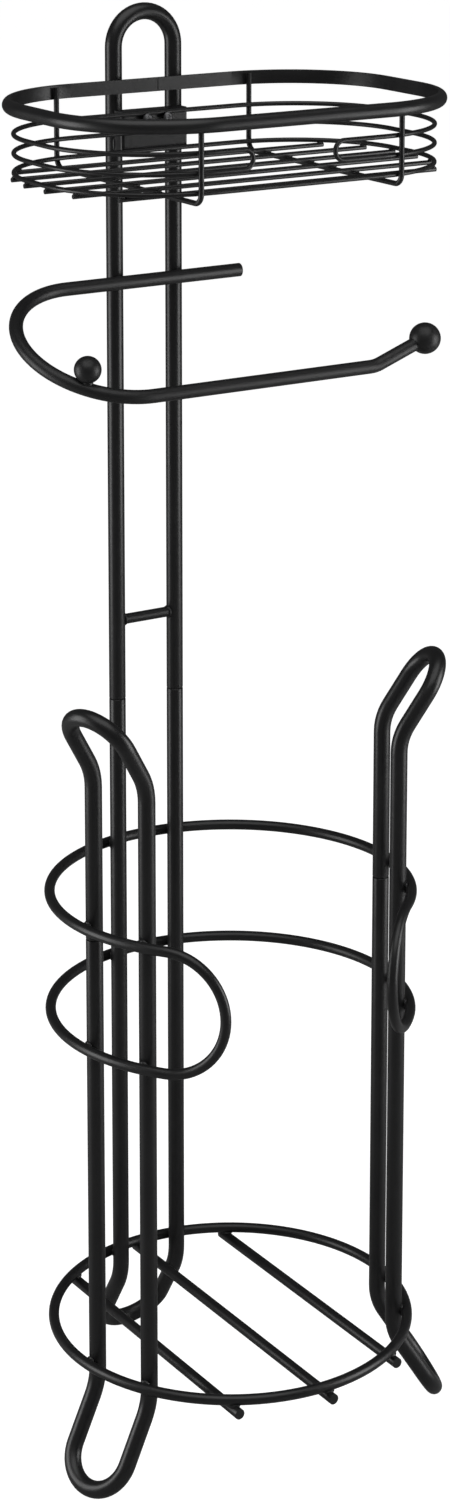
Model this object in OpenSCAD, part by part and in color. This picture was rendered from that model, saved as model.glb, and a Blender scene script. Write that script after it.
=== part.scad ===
// Free-standing toilet paper holder: a wire storage stand for spare rolls, a tall
// hairpin post with a roll arm, and a wire basket shelf at the top.
// +Z is up, the origin is on the floor on the axis of the base ring, and -Y is the front.

/* [Tube and wire] */
// Outer diameter of the leg and post tube
tube_d = 8; // [7:0.5:10]
// Wall thickness of the leg and post tube
tube_wall = 1; // [0.8:0.1:1.5]
// Diameter of the ring, guard and base wire
ring_wire_d = 5; // [4:0.5:6]
// Diameter of the roll arm rod
arm_rod_d = 6.5; // [5:0.5:8]
// Diameter of the basket's side and floor wire
basket_wire_d = 2.2; // [2:0.1:3]
// Diameter of the basket's cross wires
cross_wire_d = 2.5; // [2:0.1:3]

/* [Stand] */
// Radius of the base ring, to the middle of its wire
ring_r = 85.5; // [80:0.5:100]
// Height of the base ring above the floor, to the middle of its wire
ring_z = 53; // [50:1:70]
// Distance between the two tubes of each hairpin, middle to middle
hairpin_w = 32.5; // [28:0.5:36]
// Angle that the left leg stands forward of the rings' left
left_leg_forward = 17.5; // [10:0.5:25]
// Angle that the right leg stands forward of the rings' right
right_leg_forward = 20.5; // [10:0.5:25]
// Angle that the feet and the leg tops bend outward from upright
splay = 32.52; // [32:0.01:33]
// Bend radius where a foot or a leg top leans outward, to the middle of the tube
splay_r = 25; // [20:1:28]
// Height at which the legs start to bend outward at their tops
leg_bend_z = 335.5; // [325:0.5:350]
// Depth below the base ring at which the feet start to bend outward
foot_bend_drop = 3.5; // [2.5:0.5:6]
// Height of the leg tops, to the middle of the tube
leg_top_z = 376.5; // [365:0.5:400]
// Height of the butt joint in each side leg
leg_seam_z = 262.5; // [250:0.5:265]
// Distance between neighbouring base wires
base_wire_gap = 44; // [30:1:50]
// How far each base wire reaches past the ring
base_wire_reach = 2; // [1:0.5:4]

/* [Guard] */
// Height of the guard's lower ring
guard_low_z = 210.5; // [200:0.5:220]
// Height of the guard's upper ring
guard_high_z = 269; // [260:0.5:280]
// Angle from the right of the ring forward to the guard's right hairpin
guard_right = 48; // [35:0.5:50]
// Angle that the guard's rings run round, from one hairpin past the rear to the other
guard_sweep = 265.65; // [264:0.01:267]

/* [Post] */
// Height of the top of the post
post_top_z = 681; // [670:1:700]
// Height of the joint between the lower and the upper post
post_seam_z = 344; // [330:1:360]
// Length of each spigot on either side of the joint
spigot_len = 25; // [20:1:30]
// Radial clearance between a spigot and the upper post
spigot_play = 0.05; // [0.02:0.01:0.1]
// Height of the crossbar between the post's tubes
crossbar_z = 383; // [380:1:420]

/* [Roll arm] */
// Height of the arm's rear run
arm_z = 550; // [540:1:570]
// Where the arm's rear run ends, to the right of the middle
arm_free_end = 49; // [40:1:60]
// Where the arm's rear run turns into the U bend, to the left of the middle
arm_turn_x = 46.5; // [40:0.5:55]
// Radius of the U bend, to the middle of the rod
arm_turn_r = 43.5; // [38:0.5:50]
// Angle that the U bend drops towards the front
arm_drop = 24.5; // [15:0.5:35]
// Length of the arm's front run, up to its raised tip
arm_front_len = 118; // [100:0.5:130]
// Angle of the raised tip
arm_tip_rise = 20.61; // [20:0.01:21]
// Length of the raised tip after its bend, to the middle of its ball
arm_tip_len = 27; // [20:0.5:35]
// Diameter of the ball at the tip
end_ball_d = 15; // [12:0.5:18]
// Diameter of the small ball that keeps the roll off the bend
stop_ball_d = 12.5; // [10:0.5:14]
// Angle round the U bend from the small ball to the front run
stop_ball_angle = 41; // [20:1:60]

/* [Basket] */
// Height of the middle of the rim
rim_z = 643; // [640:1:655]
// Half of the rim's length, to the middle of its bar
rim_half_len = 98.5; // [95:0.5:110]
// Half of the rim's depth, to the middle of its bar
rim_half_depth = 67.5; // [60:0.5:75]
// Corner radius of the rim, to the middle of its bar
rim_r = 54.5; // [40:0.5:58]
// Height of the rim's half-round bar
rim_h = 6.5; // [5:0.5:8]
// Thickness of the rim's half-round bar
rim_t = 4; // [3:0.5:5]
// Distance from the rim down to the first side wire
first_wire_drop = 12.5; // [10:0.5:15]
// Distance between the side wires, and from there to the bottom hoop
wire_gap = 8.8; // [7:0.1:10]
// How much shorter the side wires are than the rim at each end
wire_end_inset = 0.7; // [0.5:0.1:5]
// Number of wires along the basket's floor
floor_wires = 6; // [4:1:7]
// Distance between the floor wires
floor_wire_gap = 18.5; // [15:0.5:19]
// How far each floor wire reaches past the bottom hoop
floor_wire_reach = 0.5; // [0:0.5:3]
// Distance of each cross wire from the middle
cross_wire_x = 52.5; // [40:0.5:55]
// Where the front opening of the side wires starts, left of the middle
front_gap_left = 25; // [20:1:36]
// Where the front opening of the side wires ends, right of the middle
front_gap_right = 18; // [12:1:36]

/* [Bracket] */
// Width of the bracket across the post
bracket_w = 36; // [30:1:38]
// Thickness of the bracket's sheet
bracket_t = 1.2; // [1:0.1:2]
// Diameter of the screw heads
screw_head_d = 4.6; // [4.4:0.1:6]
// Diameter of the screws' shanks
screw_d = 2.6; // [2:0.1:3]
// Distance between the two screws
screw_gap = 11; // [9:0.5:16]

/* [Hidden] */

$fn = 64;
powder_black = [0.09, 0.09, 0.09];
zinc_grey = [0.55, 0.56, 0.58];

// Tubes stand inside the rings and touch them
bore_d = tube_d - 2 * tube_wall;
tube_circle_r = ring_r - ring_wire_d / 2 - tube_d / 2;
hairpin_r = sqrt(pow(tube_circle_r, 2) - pow(hairpin_w / 2, 2));
turn_r = hairpin_w / 2;
edge_break = 0.35;
seam_gap = 0.2;
spigot_lead = 1;
spigot_lead_step = 0.75;
cut_past = 1;
post_y = hairpin_r;
post_front_y = post_y - tube_d / 2;

// Feet and leg tops: the length of tube between the outward bend and the U turn
foot_bend_z = ring_z - foot_bend_drop;
foot_len = (foot_bend_z - tube_d / 2 - splay_r * sin(splay)) / cos(splay) - turn_r;
top_len = (leg_top_z - leg_bend_z - splay_r * sin(splay)) / cos(splay) - turn_r;
base_wire_z = ring_z - ring_wire_d;

// Basket, from the post forward
rim_back_y = post_front_y - rim_t / 2;
basket_y = rim_back_y - rim_half_depth;
wire_half_len = rim_half_len - wire_end_inset;
wire_r = rim_r - wire_end_inset;
high_wire_z = rim_z - first_wire_drop;
mid_wire_z = high_wire_z - wire_gap;
bottom_hoop_z = mid_wire_z - wire_gap;
floor_wire_z = bottom_hoop_z - basket_wire_d;
cross_floor_z = floor_wire_z - basket_wire_d / 2 - cross_wire_d / 2;
cross_bend_r = 5;
cross_top_z = rim_z + rim_h / 2 - 1;
rim_crown = 0.15;
rim_round_r = rim_h / 2 + rim_crown;
rim_seam_x = 3;

// The cross wires touch the inside of the rim, and the side wires touch the cross wires,
// each where its corners already curve; both depths are rounded down to short numbers
short_number = 100;
past_corner = max(0, cross_wire_x - (rim_half_len - rim_r));
cross_reach = sqrt(pow(rim_r - (rim_t + cross_wire_d) / 2, 2) - pow(past_corner, 2));
cross_half_depth = floor(short_number * (rim_half_depth - rim_r + cross_reach)) / short_number;
wire_reach = sqrt(pow(wire_r + (basket_wire_d + cross_wire_d) / 2, 2) - pow(past_corner, 2));
wire_half_depth = floor(short_number * (cross_half_depth + wire_r - wire_reach)) / short_number;

// Bracket and screws, just behind the basket's rear wires
wire_back_y = basket_y + wire_half_depth;
bracket_front_y = wire_back_y + basket_wire_d / 2;
bracket_top_z = high_wire_z + basket_wire_d / 2;
bracket_low_z = bottom_hoop_z - basket_wire_d / 2;
screw_z = high_wire_z - basket_wire_d / 2 - screw_d / 2;
bracket_fold_r = 1.5;
bracket_lap = 1;
screw_head_h = 1.4;
screw_tip = 4;
screw_crown_h = 0.5;
screw_crown_d = screw_head_d - 1.4;
screw_slot_len = 2.4;
screw_slot_w = 0.5;
screw_slot_deep = 0.5;

// Roll arm
arm_y = post_front_y - arm_rod_d / 2;
arm_tip_r = 15;
stop_ball_sink = 0.4;
stop_stem_d = arm_rod_d - 1.5;

// Turns whose sine and cosine are short numbers, so that bent pieces meet exactly
splay_turn = [0.8432, 0.5376];
guard_turn = [-0.07584, -0.99712];
tip_turn = [0.936, 0.352];
tip_up = [0, -0.352, -0.936];
nearly_up = 0.9;
shortest_bar = 0.01;

function unit(v) = v / norm(v);
function turn_angle(a, b, c) = acos(max(-1, min(1, unit(b - a) * unit(c - b))));
function trim(a, b, c, r) = r * tan(turn_angle(a, b, c) / 2);
function side_of(v) = unit(cross(abs(v[2]) < nearly_up ? [0, 0, 1] : [1, 0, 0], v));

// Places its children with their X, Y and Z axes along three directions
module placed(at, x, y, z) {
    multmatrix([
        [x[0], y[0], z[0], at[0]],
        [x[1], y[1], z[1], at[1]],
        [x[2], y[2], z[2], at[2]],
        [0, 0, 0, 1]
    ])
    children();
}

// Turns its children about Z by an angle that lies close to a given cosine and sine
module turned(angle, turn) {
    multmatrix([
        [turn[0], -turn[1], 0, 0],
        [turn[1], turn[0], 0, 0],
        [0, 0, 1, 0],
        [0, 0, 0, 1]
    ])
    rotate([0, 0, angle - atan2(turn[1], turn[0])])
    children();
}

// A straight bar from a to b, with its child as the section
module straight_bar(a, b) {
    way = unit(b - a);
    side = side_of(way);
    placed(a, side, cross(way, side), way)
    linear_extrude(norm(b - a))
    children();
}

// The round corner at b on the way from a to c
module corner_bar(a, b, c, r) {
    way = unit(b - a);
    inward = unit(unit(c - b) - (way * unit(c - b)) * way);
    start = b - trim(a, b, c, r) * way;
    placed(start + r * inward, -inward, way, cross(-inward, way))
    rotate_extrude(angle = turn_angle(a, b, c))
    translate([r, 0])
    children();
}

// A bar bent along a list of points, with a bend radius at each inner point
module bent_bar(points, radii) {
    last = len(points) - 1;
    cut = [for (i = [0 : last])
        i == 0 || i == last ? 0 : trim(points[i - 1], points[i], points[i + 1], radii[i - 1])];
    for (i = [0 : last - 1]) {
        way = unit(points[i + 1] - points[i]);
        start = points[i] + cut[i] * way;
        end = points[i + 1] - cut[i + 1] * way;
        if ((end - start) * way > shortest_bar)
            straight_bar(start, end)
            children();
    }
    for (i = [1 : last - 1])
        corner_bar(points[i - 1], points[i], points[i + 1], radii[i - 1])
        children();
}

module tube_section() {
    difference() {
        circle(d = tube_d);
        circle(d = bore_d);
    }
}

// Takes the sharp edge off a tube end that lies at height z
module edge_cutter(at) {
    translate(at)
    rotate_extrude()
    polygon([
        [tube_d / 2 - edge_break, 0],
        [tube_d / 2 + cut_past, -edge_break - cut_past],
        [tube_d / 2 + cut_past, edge_break + cut_past]
    ]);
}

// Stands its children at the place of a hairpin, with +Y pointing outward from the stand
module hairpin_place(angle) {
    rotate([0, 0, angle - 90])
    translate([0, hairpin_r, 0])
    children();
}

// Upright tube of the hairpin, on the side given as -1 or 1
module upright(side, z_from, z_to) {
    translate([side * turn_r, 0, z_from])
    linear_extrude(z_to - z_from)
    tube_section();
}

// The end of a hairpin, from the top of its uprights: both tubes bend outward, run on for
// a length and meet in a U turn
module hairpin_end(length) {
    placed([0, splay_r, 0], [0, -1, 0], [0, 0, 1], [-1, 0, 0]) {
        for (side = [-1, 1])
            translate([0, 0, side * turn_r])
            rotate_extrude(angle = splay)
            translate([splay_r, 0])
            tube_section();
        turned(splay, splay_turn)
        translate([splay_r, 0, 0]) {
            for (side = [-1, 1])
                translate([0, 0, side * turn_r])
                rotate([-90, 0, 0])
                linear_extrude(length)
                tube_section();
            placed([0, length, 0], [0, 0, 1], [0, 1, 0], [-1, 0, 0])
            rotate_extrude(angle = 180)
            translate([turn_r, 0])
            tube_section();
        }
    }
}

module foot() {
    translate([0, 0, foot_bend_z])
    mirror([0, 0, 1])
    hairpin_end(foot_len);
}

module rear_post_lower() {
    color(powder_black)
    hairpin_place(90)
    difference() {
        union() {
            foot();
            for (side = [-1, 1])
                upright(side, foot_bend_z, post_seam_z);
        }
        for (side = [-1, 1])
            edge_cutter([side * turn_r, 0, post_seam_z]);
    }
}

// One tube bent into a closed loop, with a butt joint in its rear upright, which is the
// one on the side given as -1 or 1
module side_leg(angle, rear) {
    color(powder_black)
    hairpin_place(angle)
    difference() {
        union() {
            foot();
            translate([0, 0, leg_bend_z])
            hairpin_end(top_len);
            upright(-rear, foot_bend_z, leg_bend_z);
            upright(rear, foot_bend_z, leg_seam_z - seam_gap / 2);
            upright(rear, leg_seam_z + seam_gap / 2, leg_bend_z);
        }
        edge_cutter([rear * turn_r, 0, leg_seam_z]);
    }
}

module left_leg() {
    side_leg(180 + left_leg_forward, 1);
}

module right_leg() {
    side_leg(360 - right_leg_forward, -1);
}

// The plug inside a side leg that bridges its butt joint
module leg_plug(angle, rear) {
    color(zinc_grey)
    hairpin_place(angle)
    translate([rear * turn_r, 0, leg_seam_z - spigot_len / 2])
    cylinder(d = bore_d, h = spigot_len);
}

module left_leg_plug() {
    leg_plug(180 + left_leg_forward, 1);
}

module right_leg_plug() {
    leg_plug(360 - right_leg_forward, -1);
}

// A spigot fixed in the lower post, which the upper post slips over
module post_spigot(side) {
    tip_d = bore_d - 2 * spigot_play;
    color(zinc_grey)
    translate([side * turn_r, post_y, post_seam_z]) {
        translate([0, 0, -spigot_len])
        cylinder(d = bore_d, h = spigot_len);
        cylinder(d = tip_d, h = spigot_len - spigot_lead);
        translate([0, 0, spigot_len - spigot_lead])
        cylinder(d1 = tip_d, d2 = tip_d - 2 * spigot_lead_step, h = spigot_lead);
    }
}

module left_spigot() {
    post_spigot(-1);
}

module right_spigot() {
    post_spigot(1);
}

module base_ring() {
    color(powder_black)
    translate([0, 0, ring_z])
    rotate_extrude()
    translate([ring_r, 0])
    circle(d = ring_wire_d);
}

// One of the three wires that the spare rolls stand on
module base_wire(index) {
    x = index * base_wire_gap;
    half = sqrt(pow(ring_r + ring_wire_d / 2, 2) - pow(x, 2)) + base_wire_reach;
    color(powder_black)
    translate([x, half, base_wire_z])
    rotate([90, 0, 0])
    cylinder(d = ring_wire_d, h = 2 * half);
}

module base_wire_left() {
    base_wire(-1);
}

module base_wire_middle() {
    base_wire(0);
}

module base_wire_right() {
    base_wire(1);
}

// A half turn from the upper to the lower guard ring at the ring's +X side, in the plane
// that touches the ring, heading along +Y or -Y
module guard_hairpin(way) {
    placed([ring_r, 0, (guard_high_z + guard_low_z) / 2], [0, 0, 1], [0, way, 0], [-way, 0, 0])
    rotate_extrude(angle = 180)
    translate([(guard_high_z - guard_low_z) / 2, 0])
    circle(d = ring_wire_d);
}

module guard_wire() {
    color(powder_black)
    rotate([0, 0, -guard_right]) {
        for (z = [guard_low_z, guard_high_z])
            translate([0, 0, z])
            rotate_extrude(angle = guard_sweep)
            translate([ring_r, 0])
            circle(d = ring_wire_d);
        guard_hairpin(-1);
        turned(guard_sweep, guard_turn)
        guard_hairpin(1);
    }
}

module rear_post_upper() {
    turn_z = post_top_z - tube_d / 2 - turn_r;
    color(powder_black)
    hairpin_place(90)
    difference() {
        union() {
            for (side = [-1, 1])
                upright(side, post_seam_z, turn_z);
            translate([0, 0, turn_z])
            rotate([90, 0, 0])
            rotate_extrude(angle = 180)
            translate([turn_r, 0])
            tube_section();
        }
        for (side = [-1, 1])
            edge_cutter([side * turn_r, 0, post_seam_z]);
    }
}

// Clears the space of the post's two tubes from a piece that is welded to them
module post_space(z, height) {
    for (side = [-1, 1])
        translate([side * turn_r, post_y, z])
        cylinder(d = tube_d, h = height);
}

module crossbar() {
    color(powder_black)
    difference() {
        translate([-turn_r, post_y, crossbar_z])
        rotate([0, 90, 0])
        cylinder(d = ring_wire_d, h = hairpin_w);
        post_space(crossbar_z - ring_wire_d, 2 * ring_wire_d);
    }
}

// The plane of the arm's U bend: the bend starts at the origin, +X is the rods' direction
// and +Y runs forward and down
module arm_place() {
    drop_way = [0, -cos(arm_drop), -sin(arm_drop)];
    placed([-arm_turn_x, arm_y, arm_z], [1, 0, 0], drop_way, cross([1, 0, 0], drop_way))
    children();
}

// The upright plane of the raised tip, which bends about the origin from the +X side
module arm_tip_place() {
    placed([arm_front_len, 2 * arm_turn_r, 0] + arm_tip_r * tip_up,
        -tip_up, [1, 0, 0], cross(-tip_up, [1, 0, 0]))
    children();
}

module arm_bend(sweep) {
    placed([0, arm_turn_r, 0], [0, -1, 0], [-1, 0, 0], [0, 0, -1])
    rotate_extrude(angle = sweep)
    translate([arm_turn_r, 0])
    circle(d = arm_rod_d);
}

module arm_run(y, length) {
    translate([0, y, 0])
    rotate([0, 90, 0])
    linear_extrude(length)
    circle(d = arm_rod_d);
}

// The straight end of the raised tip, of a length that leaves room for the ball's socket
module arm_tip(from, to) {
    turned(arm_tip_rise, tip_turn)
    translate([arm_tip_r, from, 0])
    rotate([-90, 0, 0])
    linear_extrude(to - from)
    circle(d = arm_rod_d);
}

module roll_arm() {
    color(powder_black)
    arm_place() {
        arm_run(0, arm_turn_x + arm_free_end);
        arm_bend(180);
        arm_run(2 * arm_turn_r, arm_front_len);
        arm_tip_place() {
            rotate_extrude(angle = arm_tip_rise)
            translate([arm_tip_r, 0])
            circle(d = arm_rod_d);
            arm_tip(0, arm_tip_len);
        }
    }
}

// The ball has a blind socket for the tip of the arm
module arm_end_ball() {
    color(powder_black)
    arm_place()
    arm_tip_place()
    difference() {
        turned(arm_tip_rise, tip_turn)
        translate([arm_tip_r, arm_tip_len, 0])
        sphere(d = end_ball_d);
        arm_tip(arm_tip_len - end_ball_d, arm_tip_len);
    }
}

// The ball stands on a short stem on top of the U bend, with the rod's shape cut into it
module arm_stop_ball() {
    rise = (arm_rod_d + stop_ball_d) / 2 - stop_ball_sink;
    reach = arm_turn_r * (1 + cos(stop_ball_angle));
    foot = [
        -arm_turn_x - arm_turn_r * sin(stop_ball_angle),
        arm_y - reach * cos(arm_drop),
        arm_z - reach * sin(arm_drop)
    ];
    color(powder_black)
    difference() {
        union() {
            translate(foot + [0, 0, rise])
            sphere(d = stop_ball_d);
            translate(foot)
            cylinder(d = stop_stem_d, h = rise);
        }
        arm_place()
        arm_bend(360);
    }
}

// A shallow folded box, open at the back and welded to the front of the post
module post_bracket() {
    depth = post_y - bracket_front_y;
    height = bracket_top_z - bracket_low_z;
    color(powder_black)
    difference() {
        translate([0, bracket_front_y, bracket_low_z])
        difference() {
            linear_extrude(height) {
                translate([-bracket_w / 2, bracket_fold_r])
                square([bracket_w, depth - bracket_fold_r]);
                translate([-bracket_w / 2 + bracket_fold_r, 0])
                square([bracket_w - 2 * bracket_fold_r, bracket_fold_r]);
                for (side = [-1, 1])
                    translate([side * (bracket_w / 2 - bracket_fold_r), bracket_fold_r])
                    circle(r = bracket_fold_r);
            }
            translate([-bracket_w / 2 + bracket_t, bracket_t, -cut_past])
            cube([bracket_w - 2 * bracket_t, depth, height - bracket_t + cut_past]);
        }
        translate([-bracket_w, post_front_y + bracket_lap, bracket_low_z - cut_past])
        cube([2 * bracket_w, depth, height + 2 * cut_past]);
        post_space(bracket_low_z - cut_past, height + 2 * cut_past);
        for (side = [-1, 1])
            translate([side * screw_gap / 2, bracket_front_y - cut_past, screw_z])
            rotate([-90, 0, 0])
            cylinder(d = screw_d, h = bracket_t + 2 * cut_past);
    }
}

// Two pan-head screws that hold the basket's upper rear wire against the bracket
module bracket_screws() {
    head_y = wire_back_y - basket_wire_d / 2;
    color(powder_black)
    for (side = [-1, 1])
        translate([side * screw_gap / 2, head_y, screw_z])
        rotate([-90, 0, 0]) {
            cylinder(d = screw_d, h = bracket_front_y + screw_tip - head_y);
            difference() {
                translate([0, 0, -screw_head_h])
                union() {
                    translate([0, 0, screw_crown_h])
                    cylinder(d = screw_head_d, h = screw_head_h - screw_crown_h);
                    cylinder(d1 = screw_crown_d, d2 = screw_head_d, h = screw_crown_h);
                }
                for (turn = [0, 90])
                    rotate([0, 0, turn])
                    translate([-screw_slot_len / 2, -screw_slot_w / 2, -screw_head_h - cut_past])
                    cube([screw_slot_len, screw_slot_w, screw_slot_deep + cut_past]);
            }
        }
}

module rim_section() {
    intersection() {
        translate([-rim_t / 2, -rim_h / 2])
        square([rim_t, rim_h]);
        translate([rim_t / 2 - rim_round_r, 0])
        circle(r = rim_round_r);
    }
}

// The half-round bar, flat side inward, bent into a rounded rectangle with a butt joint
module basket_rim() {
    straight_x = rim_half_len - rim_r;
    straight_y = rim_half_depth - rim_r;
    color(powder_black)
    translate([0, basket_y, rim_z])
    difference() {
        for (side = [-1, 1]) {
            for (end = [-1, 1])
                translate([side * straight_x, end * straight_y])
                rotate([0, 0, side == 1 ? (end == 1 ? 0 : -90) : (end == 1 ? 90 : 180)])
                rotate_extrude(angle = 90)
                translate([rim_r, 0])
                rim_section();
            rotate([0, 0, 90 - side * 90])
            translate([rim_half_len, straight_y, 0])
            rotate([90, 0, 0])
            linear_extrude(2 * straight_y)
            rim_section();
            rotate([0, 0, side * 90])
            translate([rim_half_depth, straight_x, 0])
            rotate([90, 0, 0])
            linear_extrude(2 * straight_x)
            rim_section();
        }
        translate([rim_seam_x, rim_half_depth - rim_t, -rim_h])
        cube([seam_gap, 2 * rim_t, 2 * rim_h]);
    }
}

// One closed wire: the upper and middle side wires, joined by a hairpin on each side of
// the front opening
module basket_side_wire() {
    front = -wire_half_depth;
    back = wire_half_depth;
    hairpin_turn_r = wire_gap / 2;
    color(powder_black)
    translate([0, basket_y, 0])
    bent_bar([
        [0, back, high_wire_z],
        [-wire_half_len, back, high_wire_z],
        [-wire_half_len, front, high_wire_z],
        [-front_gap_left, front, high_wire_z],
        [-front_gap_left, front, mid_wire_z],
        [-wire_half_len, front, mid_wire_z],
        [-wire_half_len, back, mid_wire_z],
        [wire_half_len, back, mid_wire_z],
        [wire_half_len, front, mid_wire_z],
        [front_gap_right, front, mid_wire_z],
        [front_gap_right, front, high_wire_z],
        [wire_half_len, front, high_wire_z],
        [wire_half_len, back, high_wire_z],
        [0, back, high_wire_z]
    ], [
        wire_r, wire_r, hairpin_turn_r, hairpin_turn_r, wire_r, wire_r,
        wire_r, wire_r, hairpin_turn_r, hairpin_turn_r, wire_r, wire_r
    ])
    circle(d = basket_wire_d);
}

module basket_bottom_hoop() {
    front = -wire_half_depth;
    back = wire_half_depth;
    color(powder_black)
    translate([0, basket_y, 0])
    bent_bar([
        [0, back, bottom_hoop_z],
        [-wire_half_len, back, bottom_hoop_z],
        [-wire_half_len, front, bottom_hoop_z],
        [wire_half_len, front, bottom_hoop_z],
        [wire_half_len, back, bottom_hoop_z],
        [0, back, bottom_hoop_z]
    ], [wire_r, wire_r, wire_r, wire_r])
    circle(d = basket_wire_d);
}

// A lengthwise wire under the bottom hoop, counted from the rear
module floor_wire(index) {
    y = ((floor_wires + 1) / 2 - index) * floor_wire_gap;
    past_straight = max(0, abs(y) - (wire_half_depth - wire_r));
    hoop_x = wire_half_len - wire_r + sqrt(pow(wire_r, 2) - pow(past_straight, 2));
    half = hoop_x + basket_wire_d / 2 + floor_wire_reach;
    color(powder_black)
    translate([-half, basket_y + y, floor_wire_z])
    rotate([0, 90, 0])
    cylinder(d = basket_wire_d, h = 2 * half);
}

// A U-shaped wire from the rear of the rim, under the floor, to the front of the rim
module cross_wire(side) {
    x = side * cross_wire_x;
    color(powder_black)
    translate([x, basket_y, 0])
    bent_bar([
        [0, cross_half_depth, cross_top_z],
        [0, cross_half_depth, cross_floor_z],
        [0, -cross_half_depth, cross_floor_z],
        [0, -cross_half_depth, cross_top_z]
    ], [cross_bend_r, cross_bend_r])
    circle(d = cross_wire_d);
}

module cross_wire_left() {
    cross_wire(-1);
}

module cross_wire_right() {
    cross_wire(1);
}

rear_post_lower();
left_leg();
right_leg();
left_leg_plug();
right_leg_plug();
left_spigot();
right_spigot();
base_ring();
base_wire_left();
base_wire_middle();
base_wire_right();
guard_wire();
rear_post_upper();
crossbar();
roll_arm();
arm_end_ball();
arm_stop_ball();
post_bracket();
bracket_screws();
basket_rim();
basket_side_wire();
basket_bottom_hoop();
floor_wire(1);  // floor_wire_1
floor_wire(2);  // floor_wire_2
floor_wire(3);  // floor_wire_3
floor_wire(4);  // floor_wire_4
floor_wire(5);  // floor_wire_5
floor_wire(6);  // floor_wire_6
cross_wire_left();
cross_wire_right();
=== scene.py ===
import math

import bmesh
import bpy
from mathutils import Matrix, Vector, noise


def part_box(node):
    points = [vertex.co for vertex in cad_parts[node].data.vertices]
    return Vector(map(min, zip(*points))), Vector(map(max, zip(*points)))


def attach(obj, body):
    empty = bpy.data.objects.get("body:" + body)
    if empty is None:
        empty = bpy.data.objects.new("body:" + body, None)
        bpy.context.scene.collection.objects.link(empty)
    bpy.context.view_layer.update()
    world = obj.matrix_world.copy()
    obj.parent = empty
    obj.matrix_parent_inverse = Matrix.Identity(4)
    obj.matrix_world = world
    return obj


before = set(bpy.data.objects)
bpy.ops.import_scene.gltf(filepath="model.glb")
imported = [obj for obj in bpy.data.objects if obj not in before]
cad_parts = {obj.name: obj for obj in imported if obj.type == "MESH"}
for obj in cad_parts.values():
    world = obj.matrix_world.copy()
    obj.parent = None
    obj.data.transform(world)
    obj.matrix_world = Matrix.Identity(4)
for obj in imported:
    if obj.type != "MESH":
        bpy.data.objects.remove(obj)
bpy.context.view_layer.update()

MM = 0.001

# ---------------------------------------------------------------- camera
CAM_POS = Vector((-0.7924, -1.2602, 0.8393))
CAM_YAW = math.radians(-32.06)
CAM_PITCH = math.radians(10.94)
CAM_SENSOR, CAM_LENS = 36, 79.6944
CAM_SHIFT_Y = -0.30
CAM_NEAR, CAM_FAR = 0.05, 100


def make_camera():
    cam = bpy.data.cameras.new("camera")
    cam.sensor_width = CAM_SENSOR
    cam.lens = CAM_LENS
    cam.shift_y = CAM_SHIFT_Y
    cam.clip_start, cam.clip_end = CAM_NEAR, CAM_FAR
    ob = bpy.data.objects.new("camera", cam)
    bpy.context.scene.collection.objects.link(ob)
    ob.location = CAM_POS
    ob.rotation_euler = (math.pi / 2 - CAM_PITCH, 0, CAM_YAW)
    bpy.context.scene.camera = ob


# ---------------------------------------------------------------- materials
# Darkest, middle and lightest tone of the coat, and where each begins in the patches
COAT_TONES = ((0.0085, 0.0085, 0.0090), (0.0105, 0.0105, 0.0110), (0.0135, 0.0135, 0.0140))
COAT_STOPS = (0.3, 0.5, 0.72)
# Noise scales per metre: uneven patches, orange peel and powder grain
PATCH_SCALE, PEEL_SCALE, GRAIN_SCALE = 45, 900, 3200
SPECK_STOPS = ((0.35, 0.82), (0.75, 1.25))
GRAIN_SHEEN = 0.05
GRAIN_BUMP, GRAIN_DEPTH, PEEL_DEPTH = 0.10, 0.00006, 0.0003
COAT_SPECULAR = 0.5
# Turning marks on bare steel: stretch, noise scale, and the bump they make
MARK_STRETCH, MARK_SCALE, MARK_BUMP, MARK_DEPTH = 14, 700, 0.15, 0.00005
TARNISH_SCALE, TARNISH_DARK, TARNISH_LIGHT = 160, 0.8, 1.15
TARNISH_STOPS = (0.3, 0.7)


def nodes_of(name):
    mat = bpy.data.materials.new(name)
    mat.use_nodes = True
    tree = mat.node_tree
    shader = next(n for n in tree.nodes if n.type == "BSDF_PRINCIPLED")
    return mat, tree, shader


def noise_node(tree, coords, scale, detail=2.0, roughness=0.5):
    n = tree.nodes.new("ShaderNodeTexNoise")
    n.inputs["Scale"].default_value = scale
    n.inputs["Detail"].default_value = detail
    n.inputs["Roughness"].default_value = roughness
    tree.links.new(coords, n.inputs["Vector"])
    return n.outputs["Fac"]


def ramp(tree, value, stops):
    r = tree.nodes.new("ShaderNodeValToRGB")
    first, last = r.color_ramp.elements[0], r.color_ramp.elements[1]
    first.position, first.color = stops[0][0], (*stops[0][1], 1)
    last.position, last.color = stops[-1][0], (*stops[-1][1], 1)
    for pos, col in stops[1:-1]:
        r.color_ramp.elements.new(pos).color = (*col, 1)
    tree.links.new(value, r.inputs["Fac"])
    return r.outputs["Color"]


def scaled(tree, value, low, high):
    m = tree.nodes.new("ShaderNodeMapRange")
    m.inputs["To Min"].default_value = low
    m.inputs["To Max"].default_value = high
    tree.links.new(value, m.inputs["Value"])
    return m.outputs["Result"]


def bump(tree, height, strength, distance, under=None):
    b = tree.nodes.new("ShaderNodeBump")
    b.inputs["Strength"].default_value = strength
    b.inputs["Distance"].default_value = distance
    tree.links.new(height, b.inputs["Height"])
    if under:
        tree.links.new(under, b.inputs["Normal"])
    return b.outputs["Normal"]


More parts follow.
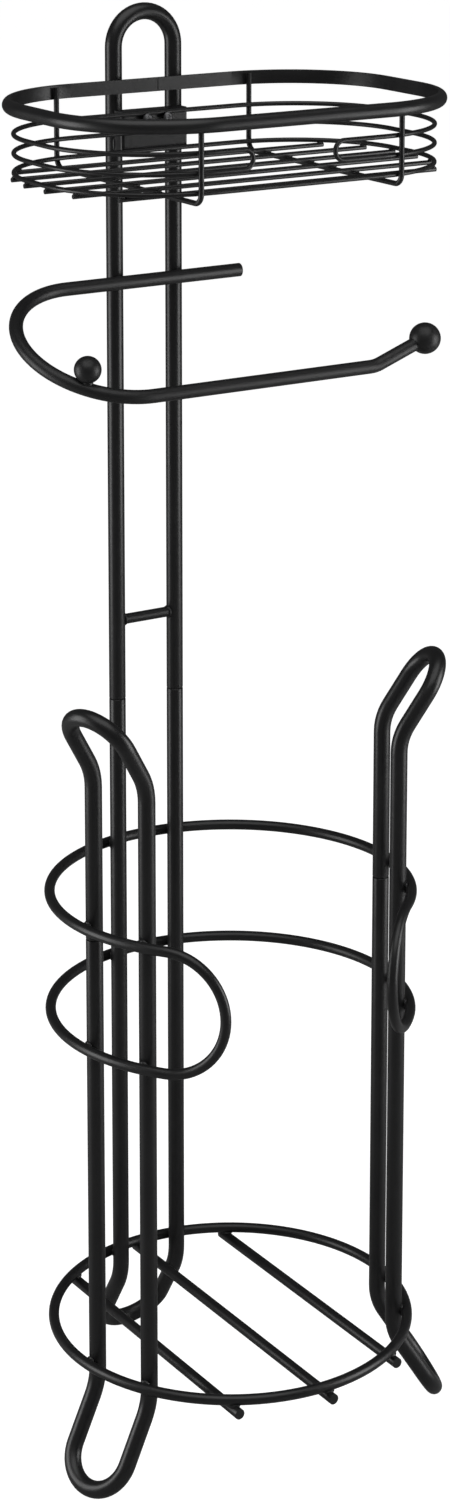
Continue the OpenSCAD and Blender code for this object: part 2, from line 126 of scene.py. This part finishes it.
def powder_coat(name, tone=1.0, rough=(0.31, 0.39), peel=0.10):
    """Satin black powder coat: soft orange peel, fine grain and a slightly uneven sheen."""
    mat, tree, shader = nodes_of(name)
    coords = tree.nodes.new("ShaderNodeTexCoord").outputs["Object"]
    patches = noise_node(tree, coords, PATCH_SCALE, detail=3)
    peel_cells = noise_node(tree, coords, PEEL_SCALE, roughness=0.45)
    grain = noise_node(tree, coords, GRAIN_SCALE, detail=3, roughness=0.6)
    tones = [tuple(c * tone for c in v) for v in COAT_TONES]
    colour = ramp(tree, patches, list(zip(COAT_STOPS, tones)))
    specks = ramp(tree, grain, [(at, (grey,) * 3) for at, grey in SPECK_STOPS])
    mix = tree.nodes.new("ShaderNodeMix")
    mix.data_type = "RGBA"
    mix.blend_type = "MULTIPLY"
    mix.inputs["Factor"].default_value = 1
    tree.links.new(colour, mix.inputs["A"])
    tree.links.new(specks, mix.inputs["B"])
    tree.links.new(mix.outputs["Result"], shader.inputs["Base Color"])
    add = tree.nodes.new("ShaderNodeMath")
    add.operation = "ADD"
    tree.links.new(scaled(tree, patches, rough[0], rough[1]), add.inputs[0])
    tree.links.new(scaled(tree, grain, -GRAIN_SHEEN, GRAIN_SHEEN), add.inputs[1])
    tree.links.new(add.outputs["Value"], shader.inputs["Roughness"])
    shader.inputs["Specular IOR Level"].default_value = COAT_SPECULAR
    fine = bump(tree, grain, GRAIN_BUMP, GRAIN_DEPTH)
    tree.links.new(bump(tree, peel_cells, peel, PEEL_DEPTH, fine), shader.inputs["Normal"])
    return mat


def machined_steel(name, colour, rough, metallic):
    """Bare or blackened steel with fine turning marks along the piece."""
    mat, tree, shader = nodes_of(name)
    coords = tree.nodes.new("ShaderNodeTexCoord").outputs["Object"]
    squeeze = tree.nodes.new("ShaderNodeMapping")
    squeeze.inputs["Scale"].default_value = (1, 1, MARK_STRETCH)
    tree.links.new(coords, squeeze.inputs["Vector"])
    lines = noise_node(tree, squeeze.outputs["Vector"], MARK_SCALE, detail=3, roughness=0.6)
    patches = noise_node(tree, coords, TARNISH_SCALE)
    tones = [tuple(c * k for c in colour) for k in (TARNISH_DARK, TARNISH_LIGHT)]
    tarnish = ramp(tree, patches, list(zip(TARNISH_STOPS, tones)))
    tree.links.new(tarnish, shader.inputs["Base Color"])
    tree.links.new(scaled(tree, lines, rough[0], rough[1]), shader.inputs["Roughness"])
    shader.inputs["Metallic"].default_value = metallic
    tree.links.new(bump(tree, lines, MARK_BUMP, MARK_DEPTH), shader.inputs["Normal"])
    return mat


coat = powder_coat("powder_coat")
coat_wire = powder_coat("powder_coat_wire", tone=0.95, rough=(0.32, 0.40), peel=0.09)
coat_arm = powder_coat("powder_coat_arm", rough=(0.40, 0.48), peel=0.12)
coat_rim = powder_coat("powder_coat_rim", tone=1.1, rough=(0.33, 0.41), peel=0.12)
coat_weld = powder_coat("powder_coat_weld", rough=(0.34, 0.44), peel=0.25)
screw_black = machined_steel("screw_black", (0.15, 0.15, 0.155), (0.34, 0.48), metallic=0.8)
zinc = machined_steel("zinc_steel", (0.20, 0.205, 0.215), (0.32, 0.45), metallic=1)

MATERIALS = {
    "left_leg_plug": zinc, "right_leg_plug": zinc, "left_spigot": zinc, "right_spigot": zinc,
    "bracket_screws": screw_black, "basket_rim": coat_rim,
    "roll_arm": coat_arm, "arm_end_ball": coat_arm, "arm_stop_ball": coat_arm,
}
WIRE = ("base_wire", "base_ring", "guard", "crossbar", "basket_", "floor_wire", "cross_wire")
# Rounding of cut ends and edges, in millimetres
EDGE = {"roll_arm": 0.9, "floor_wire": 0.35, "base_wire": 0.6, "cross_wire": 0.4,
        "basket_rim": 0.45, "post_bracket": 0.3, "rear_post": 0.18, "left_leg": 0.15,
        "right_leg": 0.15, "spigot": 0.2}
EDGE_STEPS = 3
EDGE_ANGLE = math.radians(40)
SAME_POINT = 1e-6


def dress_node(name, ob):
    mat = MATERIALS.get(name) or (coat_wire if name.startswith(WIRE) else coat)
    ob.data.materials.clear()
    ob.data.materials.append(mat)
    for p in ob.data.polygons:
        p.material_index = 0
    width = next((w for k, w in EDGE.items() if k in name), 0)
    if not width:
        return
    weld = ob.modifiers.new("weld", "WELD")
    weld.merge_threshold = SAME_POINT
    bevel = ob.modifiers.new("edges", "BEVEL")
    bevel.width = width * MM
    bevel.segments = EDGE_STEPS
    bevel.limit_method = "ANGLE"
    bevel.angle_limit = EDGE_ANGLE
    bevel.use_clamp_overlap = True
    bevel.harden_normals = False


for node_name, node_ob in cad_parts.items():
    dress_node(node_name, node_ob)


# ---------------------------------------------------------------- welds
def mm(*sizes):
    return tuple(size * MM for size in sizes)


# Weld beads: half length, half width and half height of each kind
LEG_BEAD = mm(2.9, 2.6, 1.25)
BASE_WIRE_BEAD = mm(2.9, 2.3, 1.2)
ARM_BEAD = mm(2.9, 3.3, 1.3)
RIM_BEAD = mm(2.6, 2.8, 0.9)
BRACKET_BEAD = mm(3.4, 0.8, 1.0)
CROSS_TOP_BEAD = mm(2.4, 1.3, 0.7)
SIDE_WIRE_BEAD = mm(1.45, 1.45, 0.75)
FLOOR_CROSS_BEAD = mm(1.45, 1.4, 0.7)
FLOOR_END_BEAD = mm(1.35, 1.5, 0.7)
# Collar round each end of the crossbar: its bead, and how far it sinks in bar and in tube
CROSSBAR_BEAD, CROSSBAR_IN_BAR, CROSSBAR_IN_TUBE = 0.75 * MM, 0.1 * MM, 0.05 * MM
# The bracket's beads: how far above its lower edge, below its upper edge and behind the
# tube's front they sit, and at what share of its half width
BRACKET_LOW, BRACKET_HIGH, BRACKET_BACK, BRACKET_OUT = 4 * MM, 4.5 * MM, 0.75 * MM, 0.995
# Radius of the roll arm's rod, and how far a floor wire's end reaches past the bottom hoop
ARM_ROD_R, FLOOR_REACH = 3.25 * MM, 0.5 * MM
# Lumps in a bead: noise scale, height, and how far apart in the noise two beads are
BEAD_LUMPS, BEAD_ROUGH, BEAD_STEPS = 1.7, 0.10, (3.1, 1.3, 0.7)
COLLAR_LUMPS, COLLAR_ROUGH = 2.2, 0.22
COLLAR_TURNS, COLLAR_RING = 40, 10
# First seed of each piece, and the step from the seeds of one side of the post to the other's
STAND_SEED, POST_SEED, BASKET_SEED = 1, 101, 201
POST_SIDE_SEEDS = 7


def ellipsoid(bm, centre, axes, radii, seed):
    """An uneven bead: an icosphere stretched along three axes, with a lumpy skin."""
    made = bmesh.ops.create_icosphere(bm, subdivisions=3, radius=1)
    shift = Vector([seed * step for step in BEAD_STEPS])
    frame3 = Matrix((axes[0].normalized(), axes[1].normalized(), axes[2].normalized())).transposed()
    for v in made["verts"]:
        p = v.co.copy()
        p *= 1 + BEAD_ROUGH * noise.noise(p * BEAD_LUMPS + shift)
        v.co = centre + frame3 @ Vector((p.x * radii[0], p.y * radii[1], p.z * radii[2]))


def collar(bm, centre, axis, radius, bead, seed):
    """A bead round the end of a bar."""
    side = axis.orthogonal().normalized()
    up = axis.cross(side).normalized()
    rows = []
    for i in range(COLLAR_TURNS):
        a = 2 * math.pi * i / COLLAR_TURNS
        out = side * math.cos(a) + up * math.sin(a)
        row = []
        for j in range(COLLAR_RING):
            b = 2 * math.pi * j / COLLAR_RING
            lump = noise.noise(out * COLLAR_LUMPS + Vector((seed, math.cos(b), math.sin(b))))
            r = bead * (1 + COLLAR_ROUGH * lump)
            at = centre + out * (radius + r * math.cos(b)) + axis * r * math.sin(b)
            row.append(bm.verts.new(at))
        rows.append(row)
    for i in range(COLLAR_TURNS):
        this, following = rows[i], rows[(i + 1) % COLLAR_TURNS]
        for j in range(COLLAR_RING):
            k = (j + 1) % COLLAR_RING
            bm.faces.new((this[j], following[j], following[k], this[k]))


def finish_piece(bm, name, body):
    bmesh.ops.recalc_face_normals(bm, faces=bm.faces)
    mesh = bpy.data.meshes.new(name)
    bm.to_mesh(mesh)
    bm.free()
    for p in mesh.polygons:
        p.use_smooth = True
    mesh.materials.append(coat_weld)
    ob = bpy.data.objects.new(name, mesh)
    bpy.context.scene.collection.objects.link(ob)
    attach(ob, body)


def mid(node, axis):
    low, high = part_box(node)
    return (low[axis] + high[axis]) / 2


X, Y, Z = Vector((1, 0, 0)), Vector((0, 1, 0)), Vector((0, 0, 1))
ring_low, ring_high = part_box("base_ring")
wire_d = ring_high.z - ring_low.z
ring_r = ring_high.x - wire_d / 2
ring_z = mid("base_ring", 2)
post_low, post_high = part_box("rear_post_upper")
tube_d = post_high.y - post_low.y
post_y = mid("rear_post_upper", 1)
turn_r = post_high.x - tube_d / 2
guard_low, guard_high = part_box("guard_wire")
guard_z = (guard_low.z + wire_d / 2, guard_high.z - wire_d / 2)
# How far the left and the right leg stand forward of the base ring's middle
LEFT_LEG_FORWARD, RIGHT_LEG_FORWARD = math.radians(17.5), math.radians(20.5)
HAIRPINS = (math.pi / 2, math.pi + LEFT_LEG_FORWARD, 2 * math.pi - RIGHT_LEG_FORWARD)


def hairpin_tubes(angle):
    out = Vector((math.cos(angle), math.sin(angle), 0))
    along = Vector((-math.sin(angle), math.cos(angle), 0))
    return [out * post_y + along * turn_r * s for s in (-1, 1)]


def stand_welds():
    bm = bmesh.new()
    seed = STAND_SEED
    for angle in HAIRPINS:
        for tube in hairpin_tubes(angle):
            out = tube.normalized()
            for z in (ring_z, *guard_z):
                at = out * (tube.length + tube_d / 2) + Z * z
                ellipsoid(bm, at, (Z, Z.cross(out), out), LEG_BEAD, seed)
                seed += 1
    for wire in ("base_wire_left", "base_wire_middle", "base_wire_right"):
        x, top = mid(wire, 0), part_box(wire)[1].z
        y = math.sqrt(ring_r ** 2 - x ** 2)
        for s in (-1, 1):
            tangent = Vector((-s * y, x, 0))
            ellipsoid(bm, Vector((x, s * y, top)), (tangent, Z.cross(tangent), Z),
                      BASE_WIRE_BEAD, seed)
            seed += 1
    finish_piece(bm, "stand_welds", "stand")


def post_welds():
    bm = bmesh.new()
    seed = POST_SEED
    front = post_y - tube_d / 2
    arm_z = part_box("roll_arm")[1].z - ARM_ROD_R
    rim_z = mid("basket_rim", 2)
    bar_z = mid("crossbar", 2)
    bracket_low, bracket_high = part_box("post_bracket")
    for s in (-1, 1):
        x = s * turn_r
        ellipsoid(bm, Vector((x, front, arm_z)), (Z, X, Y), ARM_BEAD, seed)
        ellipsoid(bm, Vector((x, front, rim_z)), (Z, X, Y), RIM_BEAD, seed + 1)
        bar_end = Vector((s * (turn_r - tube_d / 2 + CROSSBAR_IN_TUBE), post_y, bar_z))
        collar(bm, bar_end, X, wire_d / 2 - CROSSBAR_IN_BAR, CROSSBAR_BEAD, seed + 2)
        for k, z in enumerate((bracket_low.z + BRACKET_LOW, bracket_high.z - BRACKET_HIGH)):
            at = Vector((s * bracket_high.x * BRACKET_OUT, front + BRACKET_BACK, z))
            ellipsoid(bm, at, (Z, X, Y), BRACKET_BEAD, seed + 3 + k)
        seed += POST_SIDE_SEEDS
    finish_piece(bm, "post_welds", "upper_post")


def basket_welds():
    bm = bmesh.new()
    seed = BASKET_SEED
    side_low, side_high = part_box("basket_side_wire")
    hoop_low, hoop_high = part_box("basket_bottom_hoop")
    wire = hoop_high.z - hoop_low.z
    levels = (side_high.z - wire / 2, side_low.z + wire / 2, mid("basket_bottom_hoop", 2))
    rim_z = mid("basket_rim", 2)
    floor_wires = sorted(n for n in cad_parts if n.startswith("floor_wire"))
    for cross in ("cross_wire_left", "cross_wire_right"):
        low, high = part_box(cross)
        x = mid(cross, 0)
        for face, inner in ((high.y, hoop_high.y), (low.y, hoop_low.y)):
            ellipsoid(bm, Vector((x, face, rim_z)), (Z, X, Y), CROSS_TOP_BEAD, seed)
            seed += 1
            for z in levels:
                ellipsoid(bm, Vector((x, inner, z)), (Z, X, Y), SIDE_WIRE_BEAD, seed)
                seed += 1
        for wire_name in floor_wires:
            at = Vector((x, mid(wire_name, 1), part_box(wire_name)[0].z))
            ellipsoid(bm, at, (X, Y, Z), FLOOR_CROSS_BEAD, seed)
            seed += 1
    past = FLOOR_REACH + wire / 2
    for wire_name in floor_wires:
        low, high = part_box(wire_name)
        for x in (low.x + past, high.x - past):
            at = Vector((x, mid(wire_name, 1), high.z))
            ellipsoid(bm, at, (X, Y, Z), FLOOR_END_BEAD, seed)
            seed += 1
    finish_piece(bm, "basket_welds", "upper_post")


stand_welds()
post_welds()
basket_welds()


# ---------------------------------------------------------------- stage and light
FLOOR_RADIUS, FLOOR_SIDES, FLOOR_DROP = 14, 96, 0.0002
FLOOR_SCALE, FLOOR_GREYS = 3, ((0.3, 0.34), (0.7, 0.36))
FLOOR_ROUGH, FLOOR_SPECULAR = 0.85, 0.1
# What the camera's own rays see of the floor and the room, and what all other rays get
FLOOR_SEEN, FLOOR_GIVEN = 0.98, 0.022
ROOM_SEEN, ROOM_GIVEN = 0.98, 0.055
# Softboxes: where they stand in metres, how large they are, and their power in watts
AIM_HEIGHT = 0.36
SIDE_DISTANCE, SIDE_FORWARD, SIDE_HEIGHT = 0.95, 0.12, 0.40
SIDE_SIZE = (0.50, 0.75)
SIDE_LEFT_POWER, SIDE_RIGHT_POWER = 4.4, 5.2
FRONT_DISTANCE, FRONT_HEIGHT, FRONT_SIZE, FRONT_POWER = 3.4, 1.2, (3.6, 3.0), 3.5
TOP_FORWARD, TOP_HEIGHT, TOP_SIZE, TOP_POWER = 0.7, 2.2, (2.4, 2.0), 22


def camera_ray_switch(tree, others, seen):
    """A value that is one number for the camera's own rays and another for all others."""
    path = tree.nodes.new("ShaderNodeLightPath")
    return scaled(tree, path.outputs["Is Camera Ray"], others, seen)


def make_floor():
    """A grey floor lit from inside, as a light table is: near white to look at, and dim
    enough in the reflections that the tubes stay black."""
    bpy.ops.mesh.primitive_circle_add(vertices=FLOOR_SIDES, radius=FLOOR_RADIUS,
                                      fill_type="NGON", location=(0, 0, -FLOOR_DROP))
    ob = bpy.context.object
    ob.name = "floor"
    mat, tree, shader = nodes_of("floor_white")
    coords = tree.nodes.new("ShaderNodeTexCoord").outputs["Object"]
    soft = noise_node(tree, coords, FLOOR_SCALE)
    tone = ramp(tree, soft, [(at, (grey,) * 3) for at, grey in FLOOR_GREYS])
    tree.links.new(tone, shader.inputs["Base Color"])
    shader.inputs["Roughness"].default_value = FLOOR_ROUGH
    shader.inputs["Specular IOR Level"].default_value = FLOOR_SPECULAR
    shader.inputs["Emission Color"].default_value = (1, 1, 1, 1)
    glow = camera_ray_switch(tree, FLOOR_GIVEN, FLOOR_SEEN)
    tree.links.new(glow, shader.inputs["Emission Strength"])
    ob.data.materials.append(mat)


def softbox(name, location, target, size, power):
    data = bpy.data.lights.new(name, "AREA")
    data.shape = "RECTANGLE"
    data.size, data.size_y = size
    data.energy = power
    ob = bpy.data.objects.new(name, data)
    bpy.context.scene.collection.objects.link(ob)
    ob.visible_camera = False
    ob.location = location
    ob.rotation_mode = "QUATERNION"
    ob.rotation_quaternion = (Vector(target) - Vector(location)).to_track_quat("-Z", "Y")


def make_world():
    world = bpy.data.worlds.new("studio")
    bpy.context.scene.world = world
    world.use_nodes = True
    tree = world.node_tree
    back = tree.nodes["Background"]
    back.inputs["Color"].default_value = (1, 1, 1, 1)
    tree.links.new(camera_ray_switch(tree, ROOM_GIVEN, ROOM_SEEN), back.inputs["Strength"])


def make_lights():
    """Two tall softboxes, left and right of the object as the camera sees it, give the tubes
    a soft line near each side. A weak wide one stands behind the camera, and one overhead
    lights the tops of the rim, the arm and the balls."""
    toward = Vector((CAM_POS.x, CAM_POS.y, 0)).normalized()
    right = Vector((-toward.y, toward.x, 0))
    centre = Z * AIM_HEIGHT
    for name, side, power in (("softbox_left", -1, SIDE_LEFT_POWER),
                              ("softbox_right", 1, SIDE_RIGHT_POWER)):
        at = right * side * SIDE_DISTANCE + toward * SIDE_FORWARD + Z * SIDE_HEIGHT
        softbox(name, at, Z * SIDE_HEIGHT, SIDE_SIZE, power)
    at = toward * FRONT_DISTANCE + Z * FRONT_HEIGHT
    softbox("softbox_front", at, centre, FRONT_SIZE, FRONT_POWER)
    at = toward * TOP_FORWARD + Z * TOP_HEIGHT
    softbox("softbox_top", at, centre, TOP_SIZE, TOP_POWER)


make_camera()
make_floor()
make_world()
make_lights()
bpy.context.scene.view_settings.view_transform = "Standard"
